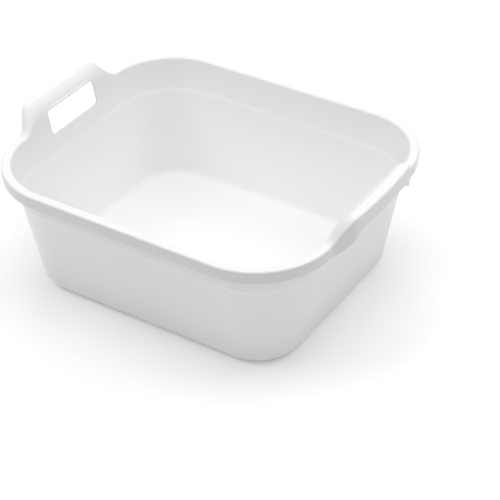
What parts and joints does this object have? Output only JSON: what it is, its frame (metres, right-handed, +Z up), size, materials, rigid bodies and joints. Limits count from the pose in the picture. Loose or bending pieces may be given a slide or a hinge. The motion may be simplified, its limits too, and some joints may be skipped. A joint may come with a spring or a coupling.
{
  "type": "washing up bowl",
  "caption": "Rectangular white plastic washing up bowl with round corners, a rim with a hanging skirt, and a raised slotted grip at each end.",
  "frame": {"origin": "on the standing plane, under the middle of the bowl", "axes": "+X along the bowl towards the right grip, +Y across it towards the back long side, +Z up"},
  "size_m": [0.422, 0.3346, 0.168],
  "materials": {
    "white_plastic": "satin white polypropylene"
  },
  "bodies": {
    "root": {"floor_panel": "white_plastic", "foot_ring": "white_plastic", "front_wall": "white_plastic", "back_wall": "white_plastic", "left_end_wall": "white_plastic", "right_end_wall": "white_plastic", "front_left_corner": "white_plastic", "front_right_corner": "white_plastic", "back_left_corner": "white_plastic", "back_right_corner": "white_plastic", "front_rim": "white_plastic", "back_rim": "white_plastic", "front_left_rim_corner": "white_plastic", "front_right_rim_corner": "white_plastic", "back_left_rim_corner": "white_plastic", "back_right_rim_corner": "white_plastic", "left_grip_panel": "white_plastic", "right_grip_panel": "white_plastic", "left_grip_rail": "white_plastic", "right_grip_rail": "white_plastic"}
  },
  "joints": []
}
